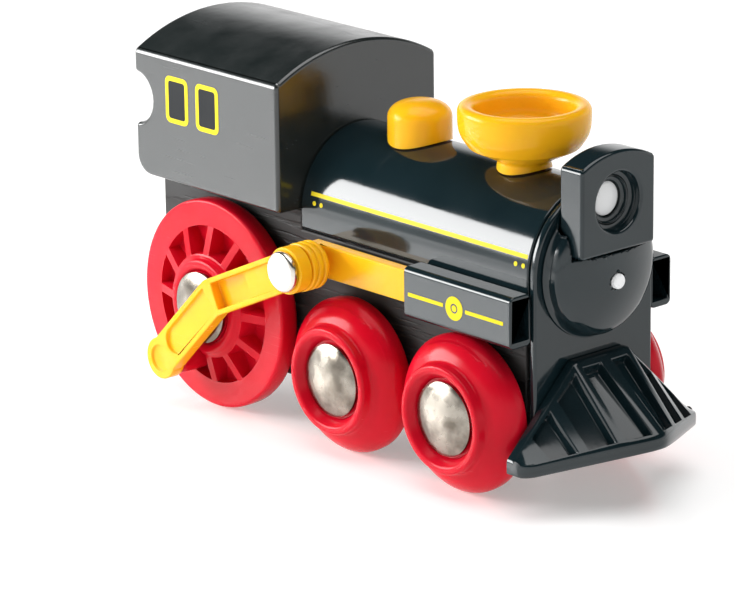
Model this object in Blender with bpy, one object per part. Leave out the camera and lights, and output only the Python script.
"""Push-along toy steam locomotive with rods that turn with its rear wheels.

The engine runs along +X and stands on z = 0. Its origin is on the ground, under the middle
of its box. Sizes below are in millimetres; place() turns them into metres. Until then, x is
counted from the front axle. The right side is at -Y, and the left side is its mirror image.
"""
import math

import bmesh
import bpy
from mathutils import Matrix, Vector

for old_object in list(bpy.data.objects):
    bpy.data.objects.remove(old_object, do_unlink=True)

MM = 0.001

# --- driving dimensions, in millimetres -------------------------------------------------------
FACE_GAP = 0.2                  # between two faces that rest on each other
FIT_GAP = 0.1                   # around a shaft, pin or peg
SIDES = (("right", -1), ("left", 1))

WHEEL_RADIUS = 10.0             # front and middle wheels
WHEEL_WIDTH = 5.8
WHEEL_DAYLIGHT = 0.6            # between the front and middle wheels
DRIVE_RADIUS = 13.8
DRIVE_WIDTH = 2.8               # at the rim
DRIVE_DAYLIGHT = 1.7            # between the middle and drive wheels
RIM_BAND = 2.75                 # flat ring outside the spokes
SPOKES = 12
SPOKE_WIDTH = 1.4
POCKET_DEPTH = 1.5              # below the rim's face
HUB_RING_RADIUS = 6.3
AXLE_RADIUS = 1.5
CAP_RADIUS = 4.7                # pressed steel cap on each axle end
CAP_RISE = 1.0
CAP_EDGE = 0.45

BOILER_RADIUS = 10.0
BOILER_WALL = 1.8
BOILER_ABOVE_CYLINDERS = 1.45   # from the cylinders' top to the boiler's centre line
SKIRT_LAP = 0.9                 # of the boiler's straight sides below the cylinders' top
BOILER_REAR = -32.0
BOILER_FRONT = 8.4
WHEEL_SIDE_GAP = 0.4            # between the boiler's side and the wheels' inner faces

CAB_LENGTH = 28.3
CAB_WIDTH = 27.1
CAB_SIDE_HEIGHT = 16.5
CAB_ROOF_RISE = 3.7
CAB_WALL = 1.8
CAB_ABOVE_WHEEL = 1.2
EAVE_RADIUS = 1.2
CAB_FOOT_RADIUS = 2.6           # rounded rear lower corner of each side
NOTCH_RADIUS = 3.4
NOTCH_HEIGHT = 10.15            # of the notch's centre above the cab's foot

CHASSIS_LENGTH = 68.4
CHASSIS_SIDE_GAP = 0.9          # to the wheels' inner faces
CHASSIS_BOTTOM = 6.0
DECK_STEP = 0.2                 # the raised deck starts this far behind the cab's front

PLATE_THICKNESS = 1.8           # front plate with its round top
PLATE_BOTTOM = 6.4
DOOR_RADIUS = 8.3
DOOR_RIM = 1.8
DOOR_RISE = 2.0
KNOB_RADIUS = 0.95
KNOB_DROP = 1.16                # below the boiler's centre line
KNOB_PROUD = 0.5
LAMP_DEPTH = 3.9
LAMP_WIDTH = 12.3
LAMP_BOTTOM = 2.55              # above the boiler's centre line
LAMP_SIDE_HEIGHT = 10.9
LAMP_CROWN = 1.6
LAMP_EYE_HEIGHT = 6.15          # of the lamp's eye above the lamp's bottom
LAMP_EYE_RADIUS = 3.7
LAMP_EYE_DEPTH = 1.6
LENS_RADIUS = 2.3
LENS_SEAT = 1.2

CHIMNEY_X = -1.7
CHIMNEY_NECK_RADIUS = 2.9
CHIMNEY_RIM_RADIUS = 8.25
CHIMNEY_WALL = 1.6
CHIMNEY_HEIGHT = 7.9            # above the boiler's top
CHIMNEY_CONE = 2.5              # height of the cone below the bowl
CHIMNEY_NECK = 0.8
DOME_X = -20.5
DOME_RADIUS = 4.1
DOME_HEIGHT = 4.9               # above the boiler's top
PEG_RADIUS = 2.0                # of the chimney and dome, through the boiler's shell
PEG_LENGTH = 2.6

CYLINDER_LENGTH = 18.8
CYLINDER_HEIGHT = 6.5
CYLINDER_WIDTH = 3.5
CYLINDER_REAR = -8.8
CYLINDER_ABOVE_WHEEL = 0.6
CYLINDER_INNER_WALL = 0.6
CYLINDER_OUTER_WALL = 1.0
CYLINDER_TOP_WALL = 1.2
CYLINDER_CORNER = 0.8

CRANK_RADIUS = 8.1
CRANK_ANGLE = 240.0             # at rest, in degrees from +X towards +Z
CRANK_BOSS_RADIUS = 2.6
CRANK_PIN_RADIUS = 1.25
CRANK_PIN_LENGTH = 3.6
ROD_THICKNESS = 1.9
ROD_HALF_WIDTH = 2.45
ROD_EYE_RADIUS = 3.0            # at the crosshead
ROD_END_RADIUS = 2.75           # at the crank
ROD_REAR_LENGTH = 14.8          # crank to elbow
ROD_REAR_ANGLE = 45.1
ROD_FRONT_LENGTH = 16.37        # elbow to crosshead
ROD_CHANNEL_DEPTH = 0.4
ROD_POCKET_DEPTH = 1.1
ROD_POCKET_LENGTH = 6.6
ROD_RAIL = 0.75                 # edge left standing beside the channel
ROD_PIN_RADIUS = 1.5
ROD_PIN_HEAD_RADIUS = 2.6
ROD_PIN_HEAD = 0.9

BAR_HEIGHT = 4.1
BAR_THICKNESS = 1.6
BAR_FRONT = -6.3
SLIDE_RISE = 0.25               # of the slide's line above the cylinder's middle
BARREL_RADIUS = 3.1
BARREL_LENGTH = 2.9
SOCKET_DEPTH = 2.6

CATCHER_WIDTH = 32.2
CATCHER_REACH = 11.5            # from the front plate to its nose
CATCHER_SWEEP = 0.62            # how fast its sides run back from the nose
CATCHER_NOSE_ROUND = 1.5
CATCHER_BOTTOM = 5.5            # at the wing tips
CATCHER_LIFT = 2.4              # how much higher its nose is than its wing tips
CATCHER_SKIRT = 1.6
CATCHER_TOP_HALF_WIDTH = 4.6
CATCHER_TOP = 17.5
CATCHER_WING_TOP = 7.3
CATCHER_LEDGE = 1.6             # depth of its top edge, forward of the plate
SLOT_PITCH = 4.1
SLOT_WIDTH = 2.4
SLOT_DEPTH = 1.3
SLOTS_A_SIDE = 3

COUPLER_HEIGHT = 12.0
COLLAR_RADIUS = 5.2
COLLAR_LENGTH = 2.2
MAGNET_RADIUS = 4.6
MAGNET_LENGTH = 4.2
COUPLER_PIN_RADIUS = 1.5
COUPLER_HEAD_RADIUS = 2.6
COUPLER_HEAD = 0.9

SCREW_RADIUS = 1.2
SCREW_HEAD_RADIUS = 2.2
SCREW_HEAD = 1.2
SCREW_BITE = 4.0                # into the piece that the screw holds
POST_RADIUS = 3.0
SCREW_SLOT = 0.6

# --- places that follow from them -------------------------------------------------------------
wheel_inner = BOILER_RADIUS + WHEEL_SIDE_GAP
wheel_outer = wheel_inner + WHEEL_WIDTH
drive_face = wheel_inner + DRIVE_WIDTH
middle_axle_x = -(2 * WHEEL_RADIUS + WHEEL_DAYLIGHT)
drive_axle_x = middle_axle_x - (WHEEL_RADIUS + DRIVE_RADIUS + DRIVE_DAYLIGHT)
dish_floor = wheel_outer - 1.4
cap_back = dish_floor + FACE_GAP
cap_top = cap_back + CAP_EDGE + CAP_RISE
axle_end = cap_back + 0.8

cylinder_z0 = 2 * WHEEL_RADIUS + CYLINDER_ABOVE_WHEEL
cylinder_z1 = cylinder_z0 + CYLINDER_HEIGHT
cylinder_y0 = BOILER_RADIUS + FACE_GAP
cylinder_y1 = cylinder_y0 + CYLINDER_WIDTH
boiler_z = cylinder_z1 + BOILER_ABOVE_CYLINDERS
boiler_top = boiler_z + BOILER_RADIUS
skirt_z = cylinder_z1 - SKIRT_LAP
chassis_top = skirt_z - FACE_GAP
chassis_half = wheel_inner - CHASSIS_SIDE_GAP

cab_front = BOILER_REAR - FACE_GAP
cab_rear = cab_front - CAB_LENGTH
cab_z0 = 2 * DRIVE_RADIUS + CAB_ABOVE_WHEEL
cab_eave = cab_z0 + CAB_SIDE_HEIGHT
cab_half = CAB_WIDTH / 2
deck_z = cab_z0 - FACE_GAP

plate_x0 = BOILER_FRONT + FACE_GAP
plate_x1 = plate_x0 + PLATE_THICKNESS
face_x = plate_x1 + FACE_GAP
chassis_front = plate_x0 - FACE_GAP
chassis_rear = chassis_front - CHASSIS_LENGTH
lamp_x1 = face_x + LAMP_DEPTH
lamp_z0 = boiler_z + LAMP_BOTTOM
eye_z = lamp_z0 + LAMP_EYE_HEIGHT

slide_z = cylinder_z0 + CYLINDER_HEIGHT / 2 + SLIDE_RISE
bar_y0 = cylinder_y0 + CYLINDER_INNER_WALL + FACE_GAP
bar_y1 = bar_y0 + BAR_THICKNESS
barrel_y0 = cylinder_y1 + FACE_GAP
barrel_y1 = max(barrel_y0 + BARREL_LENGTH, cap_top + FACE_GAP)
rod_y0 = barrel_y1 + FACE_GAP
rod_y1 = rod_y0 + ROD_THICKNESS

crank = Vector((drive_axle_x, DRIVE_RADIUS)) + CRANK_RADIUS * Vector(
    (math.cos(math.radians(CRANK_ANGLE)), math.sin(math.radians(CRANK_ANGLE))))
elbow = crank + ROD_REAR_LENGTH * Vector(
    (math.cos(math.radians(ROD_REAR_ANGLE)), math.sin(math.radians(ROD_REAR_ANGLE))))
rod_front_run = math.sqrt(ROD_FRONT_LENGTH ** 2 - (slide_z - elbow.y) ** 2)
crosshead = Vector((elbow.x + rod_front_run, slide_z))
rod_length = (crosshead - crank).length
slide_above_axle = slide_z - DRIVE_RADIUS
slide_front = drive_axle_x + math.sqrt((rod_length + CRANK_RADIUS) ** 2 - slide_above_axle ** 2)
forward_travel = slide_front - crosshead.x
neck_rear = crosshead.x - BARREL_RADIUS
neck_front = CYLINDER_REAR - FACE_GAP - forward_travel

catcher_nose = face_x + CATCHER_REACH
coupler_rear = chassis_rear - FACE_GAP - COLLAR_LENGTH - FACE_GAP - MAGNET_LENGTH
ORIGIN_X = -(catcher_nose + coupler_rear) / 2


# --- finishes ---------------------------------------------------------------------------------
def finish(name, colour, roughness, metallic=0.0):
    material = bpy.data.materials.new(name)
    material.use_nodes = True
    shader = material.node_tree.nodes["Principled BSDF"]
    shader.inputs["Base Color"].default_value = (*colour, 1.0)
    shader.inputs["Roughness"].default_value = roughness
    shader.inputs["Metallic"].default_value = metallic
    return material


slate = finish("slate_plastic", (0.035, 0.043, 0.048), 0.18)
yellow = finish("yellow_plastic", (0.93, 0.52, 0.03), 0.28)
red = finish("red_plastic", (0.72, 0.01, 0.03), 0.25)
black_wood = finish("black_wood", (0.012, 0.012, 0.012), 0.6)
steel = finish("steel", (0.72, 0.70, 0.66), 0.22, 1.0)
lens_white = finish("lens_white", (0.86, 0.87, 0.87), 0.12)
magnet_grey = finish("magnet_grey", (0.18, 0.18, 0.19), 0.35, 1.0)


# --- shapes -----------------------------------------------------------------------------------
def on_axis(axis, u, v, along):
    """A point from its place across an axis (u, v) and its place along it."""
    if axis == "X":
        return (along, u, v)
    if axis == "Y":
        return (u, along, v)
    return (u, v, along)


def turned(profile, axis, centre, segments):
    """A solid of revolution from (radius, along) points in order; radius 0 is a pole."""
    bm = bmesh.new()
    rings = []
    for radius, along in profile:
        count = segments if radius > 0 else 1
        ring = []
        for i in range(count):
            angle = 2 * math.pi * i / segments
            u = centre[0] + radius * math.cos(angle)
            v = centre[1] + radius * math.sin(angle)
            ring.append(bm.verts.new(on_axis(axis, u, v, along)))
        rings.append(ring)
    closed = profile[0][0] > 0
    pairs = list(zip(rings, rings[1:]))
    if closed:
        pairs.append((rings[-1], rings[0]))
    for first, second in pairs:
        for i in range(segments):
            corners = [first[i % len(first)], first[(i + 1) % len(first)],
                       second[(i + 1) % len(second)], second[i % len(second)]]
            corners = [v for n, v in enumerate(corners) if v not in corners[:n]]
            if len(corners) > 2:
                bm.faces.new(corners)
    bmesh.ops.recalc_face_normals(bm, faces=bm.faces)
    return bm


def prism(outline, axis, start, end):
    """A closed outline of (u, v) points, extruded along an axis from start to end."""
    bm = bmesh.new()
    near = [bm.verts.new(on_axis(axis, u, v, start)) for u, v in outline]
    far = [bm.verts.new(on_axis(axis, u, v, end)) for u, v in outline]
    bm.faces.new(near)
    bm.faces.new(far)
    for i in range(len(near)):
        j = (i + 1) % len(near)
        bm.faces.new((near[i], near[j], far[j], far[i]))
    bmesh.ops.recalc_face_normals(bm, faces=bm.faces)
    return bm


def rod_shape(radius, axis, centre, start, end, segments=24):
    """A plain round bar."""
    return turned([(0, start), (radius, start), (radius, end), (0, end)], axis, centre, segments)


def arc(centre, radius, start, end, steps):
    """Points on an arc; the angles are in degrees."""
    points = []
    for i in range(steps + 1):
        angle = math.radians(start + (end - start) * i / steps)
        points.append((centre[0] + radius * math.cos(angle), centre[1] + radius * math.sin(angle)))
    return points


def box_outline(u0, u1, v0, v1, corner=0.0, steps=3):
    """A rectangle, with round corners if a corner radius is given."""
    if corner <= 0:
        return [(u0, v0), (u1, v0), (u1, v1), (u0, v1)]
    points = []
    for u, v, turn in ((u1 - corner, v0 + corner, -90), (u1 - corner, v1 - corner, 0),
                       (u0 + corner, v1 - corner, 90), (u0 + corner, v0 + corner, 180)):
        points += arc((u, v), corner, turn, turn + 90, steps)
    return points


def boolean(solid, tool, operation):
    """The solid with the tool cut from it or joined to it. Both are used up."""
    pair = []
    for bm in (solid, tool):
        mesh = bpy.data.meshes.new("work")
        bm.to_mesh(mesh)
        bm.free()
        pair.append(bpy.data.objects.new("work", mesh))
        bpy.context.scene.collection.objects.link(pair[-1])
    step = pair[0].modifiers.new("step", "BOOLEAN")
    step.operation = operation
    step.solver = "EXACT"
    step.object = pair[1]
    shape = pair[0].evaluated_get(bpy.context.evaluated_depsgraph_get())
    result = bmesh.new()
    result.from_mesh(shape.to_mesh())
    shape.to_mesh_clear()
    for work in pair:
        bpy.data.objects.remove(work, do_unlink=True)
    bmesh.ops.remove_doubles(result, verts=result.verts, dist=0.002)
    bmesh.ops.dissolve_degenerate(result, edges=result.edges, dist=0.002)
    return result


def cut(solid, *tools):
    for tool in tools:
        solid = boolean(solid, tool, "DIFFERENCE")
    return solid


def join(solid, *tools):
    for tool in tools:
        solid = boolean(solid, tool, "UNION")
    return solid


def mirrored(bm, side):
    """The shape, made on the -Y side, or its mirror image for the +Y side."""
    if side > 0:
        bmesh.ops.scale(bm, verts=bm.verts, vec=(1, -1, 1))
        bmesh.ops.reverse_faces(bm, faces=bm.faces)
    return bm


def empty_at(name, x, y, z, parent=None):
    """An empty on a joint's axis, which carries the pieces of one moving body."""
    body = bpy.data.objects.new(name, None)
    body.empty_display_size = 4 * MM
    place_m = Vector((x + ORIGIN_X, y, z)) * MM
    body["place"] = place_m
    if parent:
        body.parent = parent
        place_m = place_m - Vector(parent["place"])
    body.location = place_m
    bpy.context.scene.collection.objects.link(body)
    return body


def place(name, bm, material, body=None):
    """Make the named object from a shape in millimetres, with its origin on its body's axis."""
    origin = Vector(body["place"]) if body else Vector((0, 0, 0))
    to_metres = Matrix.Translation(-origin) @ Matrix.Scale(MM, 4) @ Matrix.Translation(
        (ORIGIN_X, 0, 0))
    bmesh.ops.transform(bm, matrix=to_metres, verts=bm.verts)
    mesh = bpy.data.meshes.new(name)
    bm.to_mesh(mesh)
    bm.free()
    mesh.materials.append(material)
    mesh.shade_smooth()
    mesh.set_sharp_from_angle(angle=math.radians(35))
    piece = bpy.data.objects.new(name, mesh)
    piece.parent = body
    bpy.context.scene.collection.objects.link(piece)
    return piece


# --- chassis: one beech block, bored for the axles and drilled for the screws ---------------------
SCREWS = (("boiler_front_screw", middle_axle_x / 2, chassis_top),
          ("boiler_rear_screw", (middle_axle_x + BOILER_REAR) / 2 - 1.0, chassis_top),
          ("cab_front_screw", cab_front - 5.5, deck_z),
          ("cab_rear_screw", cab_rear + 9.5, deck_z))


def make_chassis():
    step_x = cab_front - DECK_STEP
    outline = [(chassis_rear, CHASSIS_BOTTOM), (chassis_front, CHASSIS_BOTTOM),
               (chassis_front, chassis_top), (step_x, chassis_top), (step_x, deck_z),
               (chassis_rear, deck_z)]
    block = prism(outline, "Y", -chassis_half, chassis_half)
    reach = chassis_half + 1
    for x, z in ((0, WHEEL_RADIUS), (middle_axle_x, WHEEL_RADIUS), (drive_axle_x, DRIVE_RADIUS)):
        block = cut(block, rod_shape(AXLE_RADIUS + FIT_GAP, "Y", (x, z), -reach, reach))
    for _, x, top in SCREWS:
        shank = rod_shape(SCREW_RADIUS + FIT_GAP, "Z", (x, 0), CHASSIS_BOTTOM - 1, top + 1, 16)
        head = rod_shape(SCREW_HEAD_RADIUS + FIT_GAP, "Z", (x, 0), CHASSIS_BOTTOM - 1,
                         CHASSIS_BOTTOM + SCREW_HEAD + FACE_GAP, 20)
        block = cut(block, shank, head)
    centre = (0, COUPLER_HEIGHT)
    block = cut(block, rod_shape(COUPLER_PIN_RADIUS + FIT_GAP, "X", centre,
                                 chassis_rear - 1, chassis_rear + 6, 20))
    place("chassis_block", block, black_wood)
    for name, x, top in SCREWS:
        tip = top + SCREW_BITE
        screw = turned([(0, CHASSIS_BOTTOM), (SCREW_HEAD_RADIUS, CHASSIS_BOTTOM),
                        (SCREW_HEAD_RADIUS, CHASSIS_BOTTOM + SCREW_HEAD),
                        (SCREW_RADIUS, CHASSIS_BOTTOM + SCREW_HEAD),
                        (SCREW_RADIUS, tip - 1), (0.3, tip), (0, tip)], "Z", (x, 0), 12)
        slot = prism(box_outline(x - SCREW_HEAD_RADIUS - 1, x + SCREW_HEAD_RADIUS + 1,
                                 -SCREW_SLOT / 2, SCREW_SLOT / 2),
                     "Z", CHASSIS_BOTTOM - 1, CHASSIS_BOTTOM + SCREW_SLOT)
        place(name, cut(screw, slot), steel)


def screw_hole(x, top):
    """The hole that a screw bites into, above the chassis."""
    return rod_shape(SCREW_RADIUS + FIT_GAP, "Z", (x, 0), top - 1, top + SCREW_BITE + 0.5, 16)


# --- boiler: an open-bottomed shell with two screw posts --------------------------------------------
def hood(radius, foot, steps=28):
    """Round top and straight sides, as (y, z) points."""
    return [(radius, foot)] + arc((0, boiler_z), radius, 0, 180, steps) + [(-radius, foot)]


def make_boiler():
    shell = prism(hood(BOILER_RADIUS, skirt_z), "X", BOILER_REAR, BOILER_FRONT)
    inner = BOILER_RADIUS - BOILER_WALL
    shell = cut(shell, prism(hood(inner, skirt_z - 1, 20), "X", BOILER_REAR - 1, BOILER_FRONT + 1))
    for _, x, top in SCREWS[:2]:
        shell = join(shell, rod_shape(POST_RADIUS, "Z", (x, 0), skirt_z,
                                      boiler_z + inner + BOILER_WALL / 2, 20))
        shell = cut(shell, screw_hole(x, top))
    for x in (CHIMNEY_X, DOME_X):
        shell = cut(shell, rod_shape(PEG_RADIUS + FIT_GAP, "Z", (x, 0), boiler_z + inner - 1.5,
                                     boiler_top + 1, 20))
    place("boiler_shell", shell, slate)


# --- cab: roof, sides, front wall and floor in one moulding, open at the rear ------------------------
def cab_section(inset, foot):
    """The cab's arched section as (y, z) points, inset by a wall."""
    half = cab_half - inset
    eave = cab_eave - inset
    rise = CAB_ROOF_RISE
    radius = (half ** 2 + rise ** 2) / (2 * rise)
    sweep = math.degrees(math.asin(half / radius))
    roof = arc((0, eave + rise - radius), radius, 90 - sweep, 90 + sweep, 20)
    points = [(half, foot)]
    corner = max(EAVE_RADIUS - inset, 0.0)
    if corner > 0:
        points += [(half, eave - corner), (half - corner * 0.3, eave - corner * 0.25)]
        points += roof[1:-1]
        points += [(-half + corner * 0.3, eave - corner * 0.25), (-half, eave - corner)]
    else:
        points += roof
    return points + [(-half, foot)]


def make_cab():
    shell = prism(cab_section(0, cab_z0), "X", cab_rear, cab_front)
    floor = cab_z0 + CAB_WALL
    shell = cut(shell, prism(cab_section(CAB_WALL, floor), "X", cab_rear - 1, cab_front - CAB_WALL))
    notch_z = cab_z0 + NOTCH_HEIGHT
    reach = cab_half + 1
    shell = cut(shell, rod_shape(NOTCH_RADIUS, "Y", (cab_rear, notch_z), -reach, reach, 32))
    foot = [(cab_rear - 1, cab_z0 - 1), (cab_rear + CAB_FOOT_RADIUS, cab_z0 - 1)]
    foot += arc((cab_rear + CAB_FOOT_RADIUS, cab_z0 + CAB_FOOT_RADIUS), CAB_FOOT_RADIUS, 270, 180, 6)
    foot += [(cab_rear - 1, cab_z0 + CAB_FOOT_RADIUS)]
    shell = cut(shell, prism(foot, "Y", -reach, reach))
    for _, x, top in SCREWS[2:]:
        shell = join(shell, rod_shape(POST_RADIUS, "Z", (x, 0), cab_z0 + CAB_WALL / 2,
                                      top + SCREW_BITE + 1.0, 16))
        shell = cut(shell, screw_hole(x, top))
    place("cab_shell", shell, slate)


# --- smokebox: plate, door, knob and lamp ------------------------------------------------------------
def lamp_outline(grow):
    """The lamp's front outline as (y, z) points, grown by a clearance."""
    half = LAMP_WIDTH / 2 + grow
    bottom = lamp_z0 - grow
    side = lamp_z0 + LAMP_SIDE_HEIGHT
    radius = (half ** 2 + LAMP_CROWN ** 2) / (2 * LAMP_CROWN)
    sweep = math.degrees(math.asin(half / radius))
    crown = arc((0, side + LAMP_CROWN - radius), radius, 90 - sweep, 90 + sweep, 10)
    return [(half, bottom)] + crown + [(-half, bottom)]


def make_smokebox():
    place("smokebox_plate", prism(hood(BOILER_RADIUS, PLATE_BOTTOM), "X", plate_x0, plate_x1), slate)

    rim_x = face_x + DOOR_RIM
    dome_radius = ((DOOR_RADIUS - 0.4) ** 2 + DOOR_RISE ** 2) / (2 * DOOR_RISE)
    profile = [(0, face_x), (DOOR_RADIUS + 0.7, face_x), (DOOR_RADIUS, face_x + 0.7),
               (DOOR_RADIUS, rim_x - 0.4)]
    for i in range(7):
        radius = (DOOR_RADIUS - 0.4) * (1 - i / 6)
        sagitta = dome_radius - math.sqrt(dome_radius ** 2 - radius ** 2)
        profile.append((radius, rim_x + DOOR_RISE - sagitta))
    door = turned(profile, "X", (0, boiler_z), 32)
    door = cut(door, prism(lamp_outline(FACE_GAP), "X", face_x - 1, lamp_x1 + 5))
    knob_centre = (0, boiler_z - KNOB_DROP)
    knob_x0 = rim_x + DOOR_RISE - 1.6
    door = cut(door, rod_shape(KNOB_RADIUS + FIT_GAP, "X", knob_centre, knob_x0 - FACE_GAP,
                               rim_x + DOOR_RISE + 2, 20))
    place("smokebox_door", door, slate)

    knob_tip = rim_x + DOOR_RISE + KNOB_PROUD
    knob = turned([(0, knob_x0), (KNOB_RADIUS, knob_x0), (KNOB_RADIUS, knob_tip - 0.5),
                   (KNOB_RADIUS * 0.8, knob_tip - 0.2), (KNOB_RADIUS * 0.4, knob_tip - 0.04),
                   (0, knob_tip)], "X", knob_centre, 20)
    place("door_knob", knob, steel)

    eye = (0, eye_z)
    seat_x = lamp_x1 - LAMP_EYE_DEPTH
    lens_back = seat_x - LENS_SEAT
    bore = turned([(0, lens_back), (LENS_RADIUS + FIT_GAP, lens_back),
                   (LENS_RADIUS + FIT_GAP, seat_x - 0.5), (LENS_RADIUS + 0.6, seat_x - 0.5),
                   (LENS_RADIUS + 0.6, seat_x), (LAMP_EYE_RADIUS, seat_x),
                   (LAMP_EYE_RADIUS, lamp_x1 + 1), (0, lamp_x1 + 1)], "X", eye, 32)
    place("lamp_housing", cut(prism(lamp_outline(0), "X", face_x, lamp_x1), bore), slate)
    front = seat_x - 0.45
    lens = turned([(0, lens_back + FACE_GAP), (LENS_RADIUS, lens_back + FACE_GAP),
                   (LENS_RADIUS, front - 0.35), (LENS_RADIUS * 0.85, front - 0.15),
                   (LENS_RADIUS * 0.5, front - 0.03), (0, front)], "X", eye, 16)
    place("lamp_lens", lens, lens_white)


# --- chimney and steam dome: pegged into the boiler's top ------------------------------------------
def boiler_bed():
    """What the chimney's and the dome's undersides are shaped to."""
    return prism(hood(BOILER_RADIUS + FACE_GAP, boiler_z - 1, 40), "X", BOILER_REAR, BOILER_FRONT)


def make_fittings():
    top = boiler_top + CHIMNEY_HEIGHT
    rim = CHIMNEY_RIM_RADIUS
    neck = CHIMNEY_NECK_RADIUS
    cone_z = boiler_top + CHIMNEY_NECK
    bowl_z = cone_z + CHIMNEY_CONE
    floor_z = bowl_z + 0.5
    inner = rim - CHIMNEY_WALL
    outside = [(0, boiler_top - 2), (neck, boiler_top - 2), (neck, cone_z),
               (rim * 0.78, bowl_z - 0.9), (rim * 0.93, bowl_z), (rim * 0.985, bowl_z + 1.1),
               (rim, top - 1.0), (rim - 0.2, top - 0.35), (rim - 0.6, top)]
    inside = [(inner + 0.4, top), (inner, top - 0.5), (inner - 0.3, floor_z + 0.8),
              (inner - 1.1, floor_z), (0, floor_z)]
    chimney = turned(outside + inside, "Z", (CHIMNEY_X, 0), 32)
    dome_top = boiler_top + DOME_HEIGHT
    dome = turned([(0, boiler_top - 3), (DOME_RADIUS, boiler_top - 3),
                   (DOME_RADIUS, dome_top - 1.9), (DOME_RADIUS * 0.955, dome_top - 1.2),
                   (DOME_RADIUS * 0.82, dome_top - 0.62), (DOME_RADIUS * 0.55, dome_top - 0.2),
                   (DOME_RADIUS * 0.28, dome_top - 0.04), (0, dome_top)], "Z", (DOME_X, 0), 28)
    for name, shape, x in (("chimney", chimney, CHIMNEY_X), ("steam_dome", dome, DOME_X)):
        shape = cut(shape, boiler_bed())
        peg = rod_shape(PEG_RADIUS, "Z", (x, 0), boiler_top - PEG_LENGTH, boiler_top + 0.6, 20)
        place(name, join(shape, peg), yellow)


# --- cylinders: box tubes that guide the crossheads -------------------------------------------------
def make_cylinder(label, side):
    front = CYLINDER_REAR + CYLINDER_LENGTH
    outer = box_outline(-cylinder_y1, -cylinder_y0, cylinder_z0, cylinder_z1, CYLINDER_CORNER)
    hole = box_outline(-cylinder_y1 + CYLINDER_OUTER_WALL, -cylinder_y0 - CYLINDER_INNER_WALL,
                       slide_z - BAR_HEIGHT / 2 - FACE_GAP, slide_z + BAR_HEIGHT / 2 + FACE_GAP)
    tube = cut(prism(outer, "X", CYLINDER_REAR, front),
               prism(hole, "X", CYLINDER_REAR - 1, front + 1))
    place(f"cylinder_{label}", mirrored(tube, side), slate)


# --- cowcatcher: a pointed wedge with upright slots ----------------------------------------------------
def catcher_sweep(y):
    """How far back the wedge's front edge is from its nose, at this distance from the middle."""
    ease = CATCHER_NOSE_ROUND
    return CATCHER_SWEEP * (math.sqrt(y ** 2 + ease ** 2) - ease)


def catcher_foot(y):
    """The wedge's lower front edge at this distance from the middle, as (x, z)."""
    share = catcher_sweep(y) / catcher_sweep(CATCHER_WIDTH / 2)
    return catcher_nose - catcher_sweep(y), CATCHER_BOTTOM + CATCHER_LIFT * (1 - share)


def catcher_crest(y):
    """How high the wedge's top edge is at this distance from the middle."""
    run = CATCHER_WIDTH / 2 - CATCHER_TOP_HALF_WIDTH
    share = max(0.0, abs(y) - CATCHER_TOP_HALF_WIDTH) / run
    return CATCHER_TOP + share * (CATCHER_WING_TOP - CATCHER_TOP)


def make_catcher():
    half = CATCHER_WIDTH / 2
    stations = [0, 0.8, 2.0, CATCHER_TOP_HALF_WIDTH, 8.0, 12.0, half]
    stations = [-y for y in reversed(stations[1:])] + stations
    ledge_x = face_x + CATCHER_LEDGE
    bm = bmesh.new()
    rings = []
    for y in stations:
        foot_x, foot_z = catcher_foot(y)
        crest = catcher_crest(y)
        section = [(face_x, foot_z), (foot_x, foot_z), (foot_x, foot_z + CATCHER_SKIRT),
                   (max(ledge_x, face_x + 1.2), max(crest, foot_z + CATCHER_SKIRT + 0.2)),
                   (face_x, max(crest, foot_z + CATCHER_SKIRT + 0.2))]
        rings.append([bm.verts.new((x, y, z)) for x, z in section])
    for first, second in zip(rings, rings[1:]):
        for i in range(len(first)):
            j = (i + 1) % len(first)
            bm.faces.new((first[i], first[j], second[j], second[i]))
    bm.faces.new(rings[0])
    bm.faces.new(rings[-1])
    bmesh.ops.triangulate(bm, faces=bm.faces)
    bmesh.ops.recalc_face_normals(bm, faces=bm.faces)
    for i in range(SLOTS_A_SIDE):
        middle = (i + 0.58) * SLOT_PITCH
        foot_x, foot_z = catcher_foot(middle)
        lip_z = foot_z + CATCHER_SKIRT
        crest = catcher_crest(middle + SLOT_WIDTH / 2)
        slope = (foot_x - ledge_x) / (catcher_crest(middle) - lip_z)
        low = lip_z + 0.3
        high = crest - 0.5
        floor = [(foot_x - slope * (z - lip_z) - SLOT_DEPTH, z) for z in (low, high)]
        outline = [floor[0], (floor[0][0] + 8, low), (floor[1][0] + 8, high), floor[1]]
        for y in (-middle, middle):
            bm = cut(bm, prism(outline, "Y", y - SLOT_WIDTH / 2, y + SLOT_WIDTH / 2))
    place("cowcatcher", bm, slate)


# --- wheels, axles and their steel caps ----------------------------------------------------------------
def small_wheel():
    w = wheel_inner
    r = WHEEL_RADIUS
    out = wheel_outer
    bore = AXLE_RADIUS + FIT_GAP
    dish = CAP_RADIUS + 0.5
    return turned([(bore, -w), (r - 0.7, -w), (r, -w - 0.7), (r, -w - 1.9), (r - 0.2, -w - 2.8),
                   (r - 0.8, -w - 3.6), (r - 1.7, -w - 4.15), (r - 2.6, -w - 4.5),
                   (r - 3.0, -w - 5.0), (r - 3.1, -out + 0.3), (r - 3.5, -out),
                   (r - 4.0, -out + 0.05), (dish + 0.3, -out + 0.5), (dish, -dish_floor),
                   (bore, -dish_floor)], "Y", (0, 0), 32)


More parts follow.
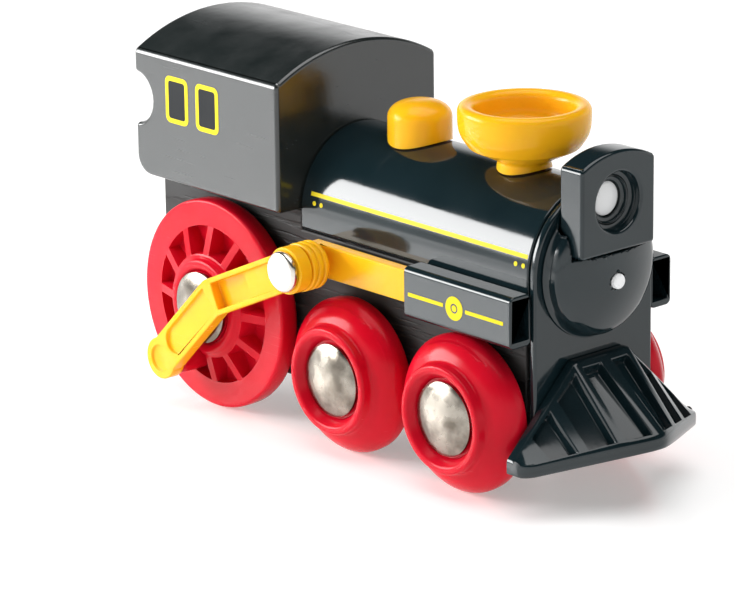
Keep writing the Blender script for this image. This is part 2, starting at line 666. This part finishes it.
def drive_wheel():
    w = wheel_inner
    r = DRIVE_RADIUS
    face = drive_face
    hub = HUB_RING_RADIUS
    band = r - 0.45 - RIM_BAND
    bore = AXLE_RADIUS + FIT_GAP
    dish = CAP_RADIUS + 0.4
    floor_w = face - POCKET_DEPTH
    body = turned([(bore, -w), (r - 0.6, -w), (r, -w - 0.6), (r, -face + 0.45), (r - 0.45, -face),
                   (band, -face), (hub + 0.5, -face - 1.0), (hub, -face - 1.4),
                   (hub - 0.3, -cap_back - 0.1), (hub - 0.8, -cap_back - 0.3),
                   (dish, -cap_back), (dish, -dish_floor), (bore, -dish_floor)], "Y", (0, 0), 40)
    for i in range(SPOKES):
        middle = 360 * (i + 0.5) / SPOKES
        inner = hub + 0.6
        half_in = 180 / SPOKES - math.degrees(SPOKE_WIDTH / 2 / inner)
        half_out = 180 / SPOKES - math.degrees(SPOKE_WIDTH / 2 / band)
        outline = arc((0, 0), inner, middle - half_in, middle + half_in, 2)
        outline += arc((0, 0), band, middle + half_out, middle - half_out, 3)
        body = cut(body, prism(outline, "Y", -face - 4, -floor_w))
    angle = math.radians(CRANK_ANGLE)
    centre = (CRANK_RADIUS * math.cos(angle), CRANK_RADIUS * math.sin(angle))
    body = join(body, rod_shape(CRANK_BOSS_RADIUS, "Y", centre, -barrel_y1, -floor_w + 0.4, 24))
    room = turned([(0, -barrel_y1 - 1), (CAP_RADIUS + FACE_GAP, -barrel_y1 - 1),
                   (CAP_RADIUS + FACE_GAP, -dish_floor - 0.1), (0, -dish_floor - 0.1)], "Y",
                  (0, 0), 40)
    if CRANK_RADIUS - CRANK_BOSS_RADIUS < CAP_RADIUS + FACE_GAP:
        body = cut(body, room)
    socket_end = rod_y0 - CRANK_PIN_LENGTH / 2 - FACE_GAP
    return cut(body, rod_shape(CRANK_PIN_RADIUS + FIT_GAP, "Y", centre, -rod_y1, -socket_end, 20))


def axle_cap():
    radius = (CAP_RADIUS ** 2 + CAP_RISE ** 2) / (2 * CAP_RISE)
    edge = cap_back + CAP_EDGE
    socket = axle_end + FIT_GAP
    profile = [(0, -socket), (AXLE_RADIUS + FIT_GAP, -socket), (AXLE_RADIUS + FIT_GAP, -cap_back),
               (CAP_RADIUS - 0.2, -cap_back), (CAP_RADIUS, -cap_back - 0.2), (CAP_RADIUS, -edge)]
    for i in range(1, 6):
        r = CAP_RADIUS * (1 - i / 5)
        profile.append((r, -edge - CAP_RISE + radius - math.sqrt(radius ** 2 - r ** 2)))
    return turned(profile, "Y", (0, 0), 20)


def moved(bm, x, z):
    bmesh.ops.translate(bm, verts=bm.verts, vec=(x, 0, z))
    return bm


def make_wheelset(label, x, radius, wheel):
    body = empty_at(f"{label}_wheelset_axis", x, 0, radius)
    place(f"{label}_axle", rod_shape(AXLE_RADIUS, "Y", (x, radius), -axle_end, axle_end),
          steel, body)
    for word, side in SIDES:
        place(f"{label}_wheel_{word}", moved(mirrored(wheel(), side), x, radius), red, body)
        place(f"{label}_cap_{word}", moved(mirrored(axle_cap(), side), x, radius), steel, body)
    return body


# --- motion: crank pins, connecting rods and crossheads ------------------------------------------------
def rod_outline(half, end_radius, eye_radius):
    """The rod's cranked outline as (x, z) points, round at both ends and at the elbow."""
    def angle_of(v):
        return math.degrees(math.atan2(v.y, v.x))

    rear = (elbow - crank).normalized()
    front = (crosshead - elbow).normalized()
    rear_deg = angle_of(rear)
    front_deg = angle_of(front)
    dip = math.degrees(math.asin(half / end_radius))
    nod = math.degrees(math.asin(half / eye_radius))
    points = arc(crank, end_radius, rear_deg + dip, rear_deg + 360 - dip, 16)
    bisector = (rear + front).normalized()
    inner = Vector((bisector.y, -bisector.x)) * half / max(0.2, bisector.dot(front))
    points.append(tuple(elbow + inner))
    points += arc(crosshead, eye_radius, front_deg - 180 + nod, front_deg + 180 - nod, 16)
    points += arc(elbow, half, front_deg + 90, rear_deg + 90, 3)
    return points


def channel_outline(start, end, half):
    """A sunk panel between two points on the rod's middle line."""
    way = (end - start).normalized()
    across = Vector((-way.y, way.x)) * half
    return [tuple(p) for p in (start - across, end - across, end + across, start + across)]


def connecting_rod():
    rod = prism(rod_outline(ROD_HALF_WIDTH, ROD_END_RADIUS, ROD_EYE_RADIUS), "Y", -rod_y1, -rod_y0)
    rear = (elbow - crank).normalized()
    front = (crosshead - elbow).normalized()
    half = ROD_HALF_WIDTH - ROD_RAIL
    channel = channel_outline(crank + rear * (ROD_END_RADIUS + 0.6), elbow - rear * 1.2, half)
    rod = cut(rod, prism(channel, "Y", -rod_y1 - 1, -rod_y1 + ROD_CHANNEL_DEPTH))
    pocket_start = elbow + front * 1.2
    pocket_end = pocket_start + front * ROD_POCKET_LENGTH
    for end, depth in ((crosshead - front * (ROD_EYE_RADIUS + 0.2), ROD_CHANNEL_DEPTH),
                       (pocket_end, ROD_POCKET_DEPTH)):
        rod = cut(rod, prism(channel_outline(pocket_start, end, half), "Y",
                             -rod_y1 - 1, -rod_y1 + depth))
    bore_end = rod_y0 + CRANK_PIN_LENGTH / 2 - 0.5
    rod = cut(rod, rod_shape(CRANK_PIN_RADIUS + FIT_GAP, "Y", tuple(crank), -bore_end,
                             -rod_y0 + 1, 20))
    return cut(rod, rod_shape(ROD_PIN_RADIUS + FIT_GAP, "Y", tuple(crosshead), -rod_y1 - 1,
                              -rod_y0 + 1, 20))


def rod_pin():
    seat = rod_y1 + FACE_GAP / 2
    head = ROD_PIN_HEAD_RADIUS
    return turned([(0, -rod_y0 - 0.05), (ROD_PIN_RADIUS, -rod_y0 - 0.05), (ROD_PIN_RADIUS, -seat),
                   (head, -seat), (head, -seat - ROD_PIN_HEAD + 0.3),
                   (head - 0.3, -seat - ROD_PIN_HEAD), (0, -seat - ROD_PIN_HEAD)],
                  "Y", tuple(crosshead), 20)


def crank_pin():
    inner = rod_y0 - CRANK_PIN_LENGTH / 2
    outer = rod_y0 + CRANK_PIN_LENGTH / 2 - 0.5 - FACE_GAP / 2
    return rod_shape(CRANK_PIN_RADIUS, "Y", tuple(crank), -outer, -inner, 20)


def slide():
    low = slide_z - BAR_HEIGHT / 2
    high = slide_z + BAR_HEIGHT / 2
    body = prism(box_outline(neck_rear, BAR_FRONT, low, high), "Y", -bar_y1, -bar_y0)
    neck = prism(box_outline(neck_rear, neck_front, low, high), "Y", -barrel_y0 - 1, -bar_y0 - 0.3)
    r = BARREL_RADIUS
    third = (barrel_y1 - barrel_y0) / 3
    barrel = turned([(0, -barrel_y1), (r - 0.2, -barrel_y1), (r, -barrel_y1 + 0.2),
                     (r, -barrel_y0 - 2 * third - 0.15), (r - 0.35, -barrel_y0 - 2 * third),
                     (r, -barrel_y0 - 2 * third + 0.15), (r, -barrel_y0 - third - 0.15),
                     (r - 0.35, -barrel_y0 - third), (r, -barrel_y0 - third + 0.15),
                     (r, -barrel_y0), (0, -barrel_y0)], "Y", tuple(crosshead), 24)
    body = join(body, neck, barrel)
    return cut(body, rod_shape(ROD_PIN_RADIUS + FIT_GAP, "Y", tuple(crosshead), -barrel_y1 - 1,
                               -barrel_y1 + SOCKET_DEPTH, 20))


def make_motion(label, side, drive_body):
    place(f"crank_pin_{label}", mirrored(crank_pin(), side), steel, drive_body)
    rod_body = empty_at(f"rod_{label}_axis", crank.x, side * rod_y0, crank.y, drive_body)
    place(f"connecting_rod_{label}", mirrored(connecting_rod(), side), yellow, rod_body)
    place(f"rod_pin_{label}", mirrored(rod_pin(), side), steel, rod_body)
    slide_body = empty_at(f"crosshead_{label}_axis", crosshead.x, side * bar_y0, slide_z)
    place(f"crosshead_{label}", mirrored(slide(), side), yellow, slide_body)


# --- rear coupler: a magnet that turns freely on a steel pin -------------------------------------------
def make_coupler():
    centre = (0, COUPLER_HEIGHT)
    collar_x1 = chassis_rear - FACE_GAP
    collar_x0 = collar_x1 - COLLAR_LENGTH
    bore = COUPLER_PIN_RADIUS + FIT_GAP
    collar = turned([(bore, collar_x1), (COLLAR_RADIUS, collar_x1), (COLLAR_RADIUS, collar_x0 + 0.5),
                     (COLLAR_RADIUS - 0.5, collar_x0), (bore, collar_x0)], "X", centre, 32)
    place("coupler_collar", collar, slate)
    magnet_x1 = collar_x0 - FACE_GAP
    magnet_x0 = magnet_x1 - MAGNET_LENGTH
    seat = magnet_x0 + COUPLER_HEAD + 2 * FACE_GAP
    well = COUPLER_HEAD_RADIUS + 2 * FIT_GAP
    spinning = empty_at("coupler_magnet_axis", magnet_x1, 0, COUPLER_HEIGHT)
    magnet = turned([(bore, magnet_x1), (MAGNET_RADIUS - 0.3, magnet_x1),
                     (MAGNET_RADIUS, magnet_x1 - 0.3), (MAGNET_RADIUS, magnet_x0 + 0.4),
                     (MAGNET_RADIUS - 0.4, magnet_x0), (well, magnet_x0), (well, seat),
                     (bore, seat)], "X", centre, 32)
    place("coupler_magnet", magnet, magnet_grey, spinning)
    head = seat - FACE_GAP
    pin = turned([(0, chassis_rear + 5.5), (COUPLER_PIN_RADIUS, chassis_rear + 5.5),
                  (COUPLER_PIN_RADIUS, head), (COUPLER_HEAD_RADIUS, head),
                  (COUPLER_HEAD_RADIUS, head - COUPLER_HEAD + 0.2),
                  (COUPLER_HEAD_RADIUS - 0.2, head - COUPLER_HEAD), (0, head - COUPLER_HEAD)],
                 "X", centre, 24)
    place("coupler_pin", pin, steel)


make_chassis()
make_boiler()
make_cab()
make_smokebox()
make_fittings()
make_catcher()
make_coupler()
for side_label, side_sign in SIDES:
    make_cylinder(side_label, side_sign)
make_wheelset("front", 0, WHEEL_RADIUS, small_wheel)
make_wheelset("middle", middle_axle_x, WHEEL_RADIUS, small_wheel)
drive_axis = make_wheelset("drive", drive_axle_x, DRIVE_RADIUS, drive_wheel)
for side_label, side_sign in SIDES:
    make_motion(side_label, side_sign, drive_axis)
